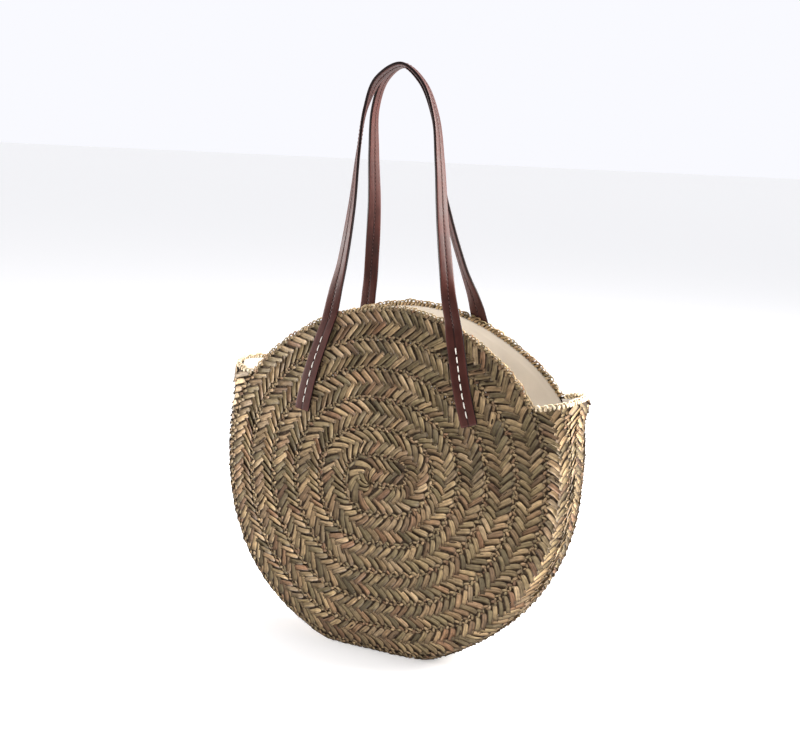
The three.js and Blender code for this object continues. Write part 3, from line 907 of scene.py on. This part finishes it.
def rim_wraps(rng, line, outward, normal, pile, pitch=RIM_PITCH, pale=0.0):
    """Bits of leaf that wrap the raw edge of the braid, from its face to its inner side."""
    s, place = rim_places(rng, line, outward, normal, pitch)
    count = len(s)
    out, face = (np.array(row)[None, :, None] for row in WRAP_ROWS)
    v = np.linspace(-1, 1, 5)[None, None, :]
    half = 0.5 * pitch * rng.normal(0.84, 0.07, (count, 1, 1))
    along = s + v * half + rng.normal(0.35, 0.1, (count, 1, 1)) * out
    round_off = 1 - 0.3 * v * v
    points = place(along + 0 * out, out * round_off + rng.normal(0, 0.15, (count, 1, 1)), face * round_off)
    start_grain = rng.uniform(0, GRAIN_RANGE, (count, 1, 1))
    grain = joined(out * 1.2 + start_grain, v * half, rng.random((count, 1, 1)))
    # The third colour value is painted shade: darker at both sides of each wrap, where it meets the next.
    tone = joined(pale + (1 - pale) * rng.random((count, 1, 1)), 0.3 + 0.7 * rng.random((count, 1, 1)),
                  1 - 0.8 * v ** 4 + 0 * out)
    pile.add(*faced(rim_turned(line, outward, normal), points, grain, tone))


def rim_loops(rng, line, outward, normal, pile, pitch=LOOP_PITCH, pale=0.0, big=1.0):
    """A chain of thin loops of leaf that stand along the rim, with small holes under them."""
    s, place = rim_places(rng, line, outward, normal, pitch)
    count = len(s)
    turn = np.linspace(-0.35, np.pi + 0.35, 9)[None, :, None]
    ring = np.linspace(0, 2 * np.pi, 6, endpoint=False)[None, None, :]
    span = pitch * rng.normal(0.6, 0.1, (count, 1, 1))
    rise = big * rng.normal(2.7, 0.55, (count, 1, 1))
    thick = big * rng.normal(0.82, 0.13, (count, 1, 1)) * (1 + 0.15 * np.cos(ring))
    across = 0.9 * np.cos(turn) + rng.normal(0, 0.35, (count, 1, 1))
    out = (rise + thick * np.cos(ring)) * np.sin(turn) + 0.1
    along = s + (span + thick * np.cos(ring)) * np.cos(turn) + rng.normal(0.35, 0.25, (count, 1, 1)) * out
    points = place(along, out, across + 1.15 * thick * np.sin(ring))
    grain = joined(turn * 3 + rng.uniform(0, GRAIN_RANGE, (count, 1, 1)), ring, rng.random((count, 1, 1)))
    # The third colour value is painted shade: darker on the underside of each loop, towards the rim.
    tone = joined(pale + (1 - pale) * rng.random((count, 1, 1)), 0.4 + 0.6 * rng.random((count, 1, 1)),
                  0.75 + 0.25 * np.cos(ring) + 0 * turn)
    pile.add(*faced(not rim_turned(line, outward, normal), points, grain, tone), closed=True)


def mouth_edge(side, count=240):
    """The panel's top rim between the ears, with its outward and facing directions."""
    degrees = np.linspace(-EAR_ANGLE, EAR_ANGLE, count)
    x, z = seam_point(degrees)
    line = np.stack([x, side * (half_depth(z) - 1.6), z], -1)
    out = np.stack([np.sin(np.radians(degrees)), 0 * x, np.cos(np.radians(degrees))], -1)
    face = np.stack([0 * x, 0 * x + side, 0 * x], -1)
    return line, out, face


def ear_edge(right, count=80):
    """The band's top end at one ear."""
    degrees = EAR_ANGLE if right else 360 - EAR_ANGLE
    turn = np.linspace(0.01, 0.99, count)
    outer = band_point(np.full(count, degrees), turn, 1.5)
    tangent = np.gradient(outer, axis=0)
    tangent /= np.linalg.norm(tangent, axis=1, keepdims=True)
    below = band_point(np.full(count, degrees + (1.0 if right else -1.0)), turn, 1.5)
    up = outer - below
    up /= np.linalg.norm(up, axis=1, keepdims=True)
    face = np.cross(tangent, up) * (1 if right else -1)
    return outer, up, face


def add_all(pile, made):
    for points, grain, tone in made:
        pile.add(points, grain, tone)


def seat(piece, slot, *nodes):
    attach(piece, "root")
    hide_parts(*nodes)


def looks(name):
    """The material of that name, made when it is first asked for."""
    if name not in bpy.data.materials:
        LOOKS[name](bpy.context.scene.basket_bag)
    return bpy.data.materials[name]


def braid_panel(name, node_name, side, flip, seed):
    """Makes the woven face of one panel."""
    settings = bpy.context.scene.basket_bag
    rng = np.random.default_rng(seed)
    spiral = Spiral(side, flip)
    pile = Pile()
    hint = -side * flip
    add_all(pile, leaves(rng, spiral, hint, 4.0, spiral.length, settings))
    add_all(pile, folds(rng, spiral, hint, 4.0, spiral.length, settings))
    thin_sheet(pile, panel_sheet(side, UNDER_INSET), panel_sheet(side, UNDER_INSET + UNDER_WALL), kind=1,
               flip=side > 0)
    # Painted light: pale spots of cotton in the upper seams stand in for light shining through holes.
    pile.add(*light_hole_spots(rng, spiral, hint, settings), kind=2)
    rim_wraps(rng, *mouth_edge(side), pile)
    rim_loops(rng, *mouth_edge(side), pile)
    piece = pile.build(name, [looks("palm_leaf"), looks("shaded_leaf"), looks("cotton_cloth")])
    seat(piece, "straw_braid", node_name)


def strap_curve(points):
    """A centripetal curve through the points, as (position, tangent) samples by share of its rows."""
    points = np.asarray(points, float)
    last = len(points) - 1

    def at(share):
        place = share * last
        i = min(int(place), last - 1)
        weight = place - i
        p1, p2 = points[i], points[i + 1]
        p0 = points[i - 1] if i > 0 else 2 * points[0] - points[1]
        p3 = points[i + 2] if i + 2 <= last else 2 * points[last] - points[last - 1]
        d0, d1, d2 = (np.sum((b - a) ** 2) ** 0.25 for a, b in ((p0, p1), (p1, p2), (p2, p3)))
        d1 = d1 if d1 > 1e-4 else 1.0
        d0 = d0 if d0 > 1e-4 else d1
        d2 = d2 if d2 > 1e-4 else d1
        t1 = ((p1 - p0) / d0 - (p2 - p0) / (d0 + d1) + (p2 - p1) / d1) * d1
        t2 = ((p2 - p1) / d1 - (p3 - p1) / (d1 + d2) + (p3 - p2) / d2) * d1
        c2 = -3 * p1 + 3 * p2 - 2 * t1 - t2
        c3 = 2 * p1 - 2 * p2 + t1 + t2
        return p1 + t1 * weight + c2 * weight ** 2 + c3 * weight ** 3

    return at


def rim_height(x):
    low, high = 0.0, math.copysign(80.0, x)
    for _ in range(40):
        middle = 0.5 * (low + high)
        if abs(seam_point(middle)[0]) < abs(x):
            low = middle
        else:
            high = middle
    return float(seam_point(low)[1])


class Strap:
    """One handle: its centre line, its turn and its sections."""

    def __init__(self, side, tails, loop):
        self.side = side
        half = 0.5 * HANDLE_SPREAD
        stops = []

        def tail(place, fractions):
            x = place[0] * half
            z = rim_height(x)
            splay = math.radians(place[1])
            for fraction in fractions:
                gone = fraction * TAIL_LENGTH
                out = math.copysign(gone * math.sin(splay), x)
                stops.append((x + out, z - gone * math.cos(splay), 0, 0))

        tail(tails[0], (1, 0.75, 0.5, 0.25, 0))
        self.base = rim_height(half)
        for across, rise, lean, turn in loop:
            stops.append((across * half, self.base + rise * HANDLE_HEIGHT, lean, turn))
        tail(tails[1], (0, 0.25, 0.5, 0.75, 1))
        middle = 0.5 * STRAP_WIDTH + 0.5 * HANDLE_GAP
        start = float(half_depth(self.base)) + TAIL_GAP + 0.5 * TAIL_THICKNESS
        points = []
        for x, z, lean, _ in stops:
            seat_y = float(panel_depth(x, z)) + TAIL_GAP + 0.5 * TAIL_THICKNESS
            points.append((x, start + (middle - start) * lean if lean > 0 else seat_y, z))
        self.path = strap_curve(points)
        self.turning = strap_curve([(stop[3], stop[2], 0) for stop in stops])
        self.shares = np.linspace(0, 1, 601)
        line = np.array([self.path(share) for share in self.shares])
        self.gone = np.concatenate([[0], np.cumsum(np.linalg.norm(np.diff(line, axis=0), axis=1))])

    def share_at(self, millimetres):
        return float(np.interp(millimetres, self.gone, self.shares))

    def section(self, share, across, face_side, out, thick_share=1.0):
        """Points of a cross-section. Out counts from the face on that side, 1 outer and -1 inner."""
        centre = self.path(share)
        tangent = self.path(min(share + 1e-4, 1.0)) - self.path(max(share - 1e-4, 0.0))
        tangent /= np.linalg.norm(tangent)
        turn = math.radians(self.turning(share)[0])
        level = np.array([tangent[2], 0, -tangent[0]])
        level /= np.linalg.norm(level)
        face = np.cross(tangent, level)
        face /= np.linalg.norm(face)
        if face[1] < 0:
            face = -face
        width = level * math.cos(turn) + face * math.sin(turn)
        normal = np.cross(tangent, width)
        normal /= np.linalg.norm(normal)
        free = float(smooth((centre[2] - self.base) / STRAP_TURN_LENGTH))
        half_thick = 0.5 * (TAIL_THICKNESS + (STRAP_THICKNESS - TAIL_THICKNESS) * free) * thick_share
        scale = 1 + (STRAP_WIDTH / TAIL_WIDTH - 1) * free
        a = across[:, None] * scale
        b = (face_side * half_thick + out)[:, None]
        loose = centre + width * a + normal * b
        flat = centre + level * a
        flat[:, 1] = panel_depth(flat[:, 0], flat[:, 2]) + TAIL_GAP + 0.5 * TAIL_THICKNESS + b[:, 0]
        points = flat * (1 - free) + loose * free
        points[:, 1] *= self.side
        return points


# Columns: across as a share of half the strap, millimetres in from its face, painted highlight, cut edge, seam
STRAP_EDGE = (
    (0.0, -0.55, 0.0, 0.0, 1.0), (0.035, -0.5, 0.0, 0.0, 0.9), (0.085, -0.12, 0.1, 0.0, 0.35),
    (0.16, 0.0, 0.25, 0.0, 0.0), (0.4, 0.02, 0.15, 0.0, 0.0), (0.66, -0.02, 0.2, 0.0, 0.0),
    (0.84, -0.1, 0.45, 0.0, 0.0), (0.93, -0.3, 0.75, 0.1, 0.0), (0.985, -0.62, 0.3, 0.8, 0.0),
    (1.0, -1.0, 0.0, 1.0, 0.0),
)


def strap_outline():
    """One section of the strap as rows of (across, out from the face, side of the face, painted highlight, cut,
    seam).
    """
    half = 0.5 * TAIL_WIDTH
    rows = [(a * half, b, 1, *rest) for a, b, *rest in STRAP_EDGE]
    rows += [(a * half, b, -1, *rest) for a, b, *rest in STRAP_EDGE[::-1]]
    rows += [(-a * half, b, -1, *rest) for a, b, *rest in STRAP_EDGE[1:]]
    rows += [(-a * half, b, 1, *rest) for a, b, *rest in STRAP_EDGE[:0:-1]]
    return np.array(rows)


def strap_body(strap, pile):
    """The folded leather strap with its rounded edges and sewn channel."""
    rows = strap_outline()
    shares = np.concatenate([[0.0], np.linspace(0, 1, 261), [1.0]])
    rings = []
    for i, share in enumerate(shares):
        end = i in (0, len(shares) - 1)
        gone = float(np.interp(share, strap.shares, strap.gone))
        from_end = min(gone, strap.gone[-1] - gone)
        folded = float(smooth((from_end - TAIL_LENGTH + 12) / 30))
        corner = 1 - 0.06 * math.exp(-from_end / 1.5)
        inset = rows[:, 1] * (0.25 + 0.75 * folded)
        across = rows[:, 0] * (0.0 if end else corner)
        out = rows[:, 2] * (0.0 if end else 1.0) * inset
        rings.append(strap.section(share, across, rows[:, 2], out, 0.0 if end else 1.0))
    rings = np.array(rings)[None]
    tone = np.broadcast_to(rows[:, 3:6], rings.shape)
    if strap.side > 0:
        rings, tone = rings[:, :, ::-1], tone[:, :, ::-1]
    pile.add(rings, np.zeros(rings.shape), tone, closed=True)


def stitch_row(strap, pile, start, stop, pitch, length, radius, faces, kind):
    """A row of stitches along the middle of a strap."""
    count = int((stop - start) / pitch)
    ring = np.linspace(0, 2 * np.pi, STITCH_SIDES, endpoint=False)
    for face in faces:
        patches = []
        for i in range(count):
            first = start + pitch * (i + 0.5) - 0.5 * length
            rings = []
            for place, size, dip in STITCH_ROWS:
                share = strap.share_at(first + length * place)
                across = radius * size * np.cos(ring)
                out = face * radius * (size * np.sin(ring) * 0.8 - dip + 0.35)
                rings.append(strap.section(share, across, float(face), out))
            patches.append(rings)
        points = np.array(patches)
        if strap.side * face < 0:
            points = points[:, :, ::-1]
        pile.add(points, np.zeros(points.shape), np.zeros(points.shape), kind=kind, closed=True)


def build_handle(name, node_name, side, tails, loop):
    strap = Strap(side, tails, loop)
    pile = Pile()
    strap_body(strap, pile)
    full = strap.gone[-1]
    dashes = DASH_PITCH * (DASH_COUNT + 0.05)
    stitch_row(strap, pile, DASH_START, DASH_START + dashes, DASH_PITCH, 7.4, 0.62, (1,), 1)
    stitch_row(strap, pile, full - DASH_START - dashes, full - DASH_START, DASH_PITCH, 7.4, 0.62, (1,), 1)
    stitch_row(strap, pile, TAIL_LENGTH + 2.0, full - TAIL_LENGTH - 2.0, 4.4, 3.0, 0.42, (1, -1), 2)
    piece = pile.build(name, [looks("brown_leather"), looks("waxed_thread"), looks("brown_thread")])
    seat(piece, "strap_leather", node_name)


def a_length(name, description, default, low, high):
    return bpy.props.FloatProperty(name=name, description=description, default=default, min=low, max=high,
                                   unit="LENGTH")


def a_share(name, description, default):
    return bpy.props.FloatProperty(name=name, description=description, default=default, min=0, max=1,
                                   subtype="FACTOR")


def a_colour(name, description, default):
    return bpy.props.FloatVectorProperty(name=name, description=description, default=default, size=3, min=0,
                                         max=1, subtype="COLOR")


def a_power(name, description, default):
    return bpy.props.FloatProperty(name=name, description=description, default=default, min=0, max=1000,
                                   unit="POWER")


def a_glow(name, description, default):
    return bpy.props.FloatProperty(name=name, description=description, default=default, min=0, max=4)


class BagSettings(bpy.types.PropertyGroup):
    """Sizes and colours of the bag's dressing."""
    leaf_pitch: a_length("Leaf pitch", "Step of the leaves along a row of braid", 0.00875, 0.004, 0.02)
    leaf_width: a_length("Leaf width", "Width of one split palm leaf", 0.0058, 0.002, 0.012)
    straw_roughness: a_share("Straw roughness", "Roughness of the dry leaf", 0.6)
    leather_roughness: a_share("Leather roughness", "Roughness of the straps", 0.45)
    cotton_colour: a_colour("Cotton colour", "Colour of the lining", (0.80, 0.74, 0.66))
    floor_colour: a_colour("Floor colour", "Colour of the plain floor", (0.62, 0.62, 0.63))
    floor_glow: a_glow("Floor glow", "How much the floor brightens of itself", 0.45)
    key_power: a_power("Key light", "Power of the light from behind and right", 190)
    top_power: a_power("Top light", "Power of the soft light from above", 22)
    left_power: a_power("Left light", "Power of the soft light from the left", 46)
    front_fill: a_glow("Front fill", "Brightness of the room in front of the bag", 0.1)
    back_glow: a_glow("Back glow", "Brightness of the backdrop", 1.0)


class BAG_OT_front_panel(bpy.types.Operator):
    """Makes the front panel of sewn palm braid"""
    bl_idname = "basket_bag.front_panel"
    bl_label = "Front Panel"

    def execute(self, context):
        braid_panel("front_braid", "front_panel", -1, 1, 11)
        return {"FINISHED"}


class BAG_OT_back_panel(bpy.types.Operator):
    """Makes the back panel of sewn palm braid"""
    bl_idname = "basket_bag.back_panel"
    bl_label = "Back Panel"

    def execute(self, context):
        braid_panel("back_braid", "back_panel", 1, -1, 23)
        return {"FINISHED"}


class BAG_OT_side_band(bpy.types.Operator):
    """Makes the rows of braid round the sides and the bottom"""
    bl_idname = "basket_bag.side_band"
    bl_label = "Side Band"

    def execute(self, context):
        settings = context.scene.basket_bag
        rng = np.random.default_rng(37)
        front = Spiral(-1, 1)
        back = Spiral(1, -1)
        pile = Pile()
        for index in range(2):
            row = BandRow(front, back, index, 2)
            add_all(pile, leaves(rng, row, -1, 1.0, row.length - 1.0, settings))
            add_all(pile, folds(rng, row, -1, 1.0, row.length - 1.0, settings))
        thin_sheet(pile, band_sheet(UNDER_INSET), band_sheet(UNDER_INSET + UNDER_WALL), kind=1, ring=False)
        for right in (False, True):
            rim_wraps(rng, *ear_edge(right), pile, pale=0.975)
            rim_loops(rng, *ear_edge(right), pile, pale=0.98, big=1.05)
        piece = pile.build("band_braid", [looks("palm_leaf"), looks("shaded_leaf")])
        seat(piece, "straw_braid", "side_band")
        return {"FINISHED"}


class BAG_OT_lining(bpy.types.Operator):
    """Makes the cotton lining"""
    bl_idname = "basket_bag.lining"
    bl_label = "Lining"

    def execute(self, context):
        pile = Pile()
        for side in (-1, 1):
            thin_sheet(pile, lining_panel(side, 0.0), lining_panel(side, 1.0), flip=side > 0)
        thin_sheet(pile, lining_band(0.0), lining_band(1.0), ring=False)
        piece = pile.build("cotton_bag", [looks("cotton_cloth")])
        seat(piece, "cotton_lining", "lining")
        return {"FINISHED"}


class BAG_OT_handles(bpy.types.Operator):
    """Makes both leather handles and their stitching"""
    bl_idname = "basket_bag.handles"
    bl_label = "Handles"

    def execute(self, context):
        build_handle("front_strap", "front_handle", -1, FRONT_TAILS, FRONT_LOOP)
        build_handle("back_strap", "back_handle", 1, BACK_TAILS, BACK_LOOP)
        return {"FINISHED"}


def area_light(name, place, target, size, power, colour):
    data = bpy.data.lights.new(name, "AREA")
    data.shape = "RECTANGLE"
    data.size, data.size_y = size
    data.energy = power
    data.color = colour
    lamp = bpy.data.objects.new(name, data)
    lamp.location = place
    bpy.context.scene.collection.objects.link(lamp)
    direction = Vector(target) - lamp.location
    lamp.rotation_euler = direction.to_track_quat("-Z", "Y").to_euler()


def studio_world(settings):
    """Pale surroundings, brighter behind the bag than in front of it."""
    world = bpy.data.worlds.new("studio")
    world.use_nodes = True
    tree = world.node_tree
    background = tree.nodes["Background"]
    place = tree.nodes.new("ShaderNodeTexCoord")
    ahead = tree.nodes.new("ShaderNodeVectorMath")
    ahead.operation = "DOT_PRODUCT"
    yaw = math.radians(CAMERA_YAW)
    ahead.inputs[1].default_value = (-math.sin(yaw) + 0.25, math.cos(yaw), 0.3)
    tree.links.new(place.outputs["Generated"], ahead.inputs[0])
    strength = tree.nodes.new("ShaderNodeMapRange")
    strength.interpolation_type = "SMOOTHSTEP"
    strength.inputs["From Min"].default_value = -0.8
    strength.inputs["From Max"].default_value = 0.75
    strength.inputs["To Min"].default_value = settings.front_fill
    strength.inputs["To Max"].default_value = settings.back_glow
    tree.links.new(ahead.outputs["Value"], strength.inputs["Value"])
    tree.links.new(strength.outputs[0], background.inputs["Strength"])
    background.inputs["Color"].default_value = (0.95, 0.955, 1.0, 1)
    bpy.context.scene.world = world


class BAG_OT_stage(bpy.types.Operator):
    """Makes the floor, the soft studio light and the camera"""
    bl_idname = "basket_bag.stage"
    bl_label = "Stage"

    def execute(self, context):
        settings = context.scene.basket_bag
        mesh = bpy.data.meshes.new("studio_floor")
        corners = [(x * FLOOR_REACH, y * FLOOR_REACH, 0) for x, y in ((-1, -1), (1, -1), (1, 1), (-1, 1))]
        mesh.from_pydata(corners, [], [(0, 1, 2, 3)])
        floor = bpy.data.objects.new("studio_floor", mesh)
        context.scene.collection.objects.link(floor)
        material, _, shader = new_material("studio_floor")
        set_inputs(shader, Base_Color=(*settings.floor_colour, 1), Roughness=0.7, Specular_IOR_Level=0.2,
                   Emission_Color=(1.0, 1.0, 1.0, 1), Emission_Strength=settings.floor_glow)
        mesh.materials.append(material)
        studio_world(settings)
        context.scene.view_settings.view_transform = "Standard"
        for name, place, target, size, power, colour in LIGHTS:
            area_light(name, place, target, size, getattr(settings, power), colour)
        yaw, elevation, roll = (math.radians(v) for v in (CAMERA_YAW, CAMERA_ELEVATION, CAMERA_ROLL))
        level = math.cos(elevation)
        back = Vector((math.sin(yaw) * level, -math.cos(yaw) * level, math.sin(elevation)))
        right = Vector((math.cos(yaw), math.sin(yaw), 0))
        up = back.cross(right)
        rolled = right * math.cos(roll) + up * math.sin(roll)
        upright = up * math.cos(roll) - right * math.sin(roll)
        eye = (rolled * CAMERA_TARGET[0] + upright * CAMERA_TARGET[1] + back * CAMERA_DISTANCE) * MM
        data = bpy.data.cameras.new("photo_camera")
        data.sensor_fit = "HORIZONTAL"
        data.sensor_width = 36.0
        data.lens = CAMERA_LENS
        data.clip_start = 0.05
        data.clip_end = 50.0
        camera = bpy.data.objects.new("photo_camera", data)
        context.scene.collection.objects.link(camera)
        facing = Matrix((rolled, upright, back)).transposed().to_4x4()
        camera.matrix_world = Matrix.Translation(eye) @ facing
        context.scene.camera = camera
        return {"FINISHED"}


class BAG_PT_panel(bpy.types.Panel):
    """Lists the bag's pieces in the sidebar"""
    bl_idname = "BAG_PT_panel"
    bl_label = "Basket Bag"
    bl_space_type = "VIEW_3D"
    bl_region_type = "UI"
    bl_category = "Basket Bag"

    def draw(self, context):
        for name in BagSettings.__annotations__:
            self.layout.prop(context.scene.basket_bag, name)
        for operator in OPERATORS:
            self.layout.operator(operator.bl_idname)


OPERATORS = (
    BAG_OT_stage, BAG_OT_front_panel, BAG_OT_back_panel, BAG_OT_side_band, BAG_OT_lining, BAG_OT_handles,
)


def register():
    for cls in (BagSettings, *OPERATORS, BAG_PT_panel):
        bpy.utils.register_class(cls)
    bpy.types.Scene.basket_bag = bpy.props.PointerProperty(type=BagSettings)


def unregister():
    del bpy.types.Scene.basket_bag
    for cls in reversed((BagSettings, *OPERATORS, BAG_PT_panel)):
        bpy.utils.unregister_class(cls)


def main():
    register()
    bpy.ops.basket_bag.stage()
    bpy.ops.basket_bag.front_panel()
    bpy.ops.basket_bag.back_panel()
    bpy.ops.basket_bag.side_band()
    bpy.ops.basket_bag.lining()
    bpy.ops.basket_bag.handles()


if __name__ == "__main__":
    main()
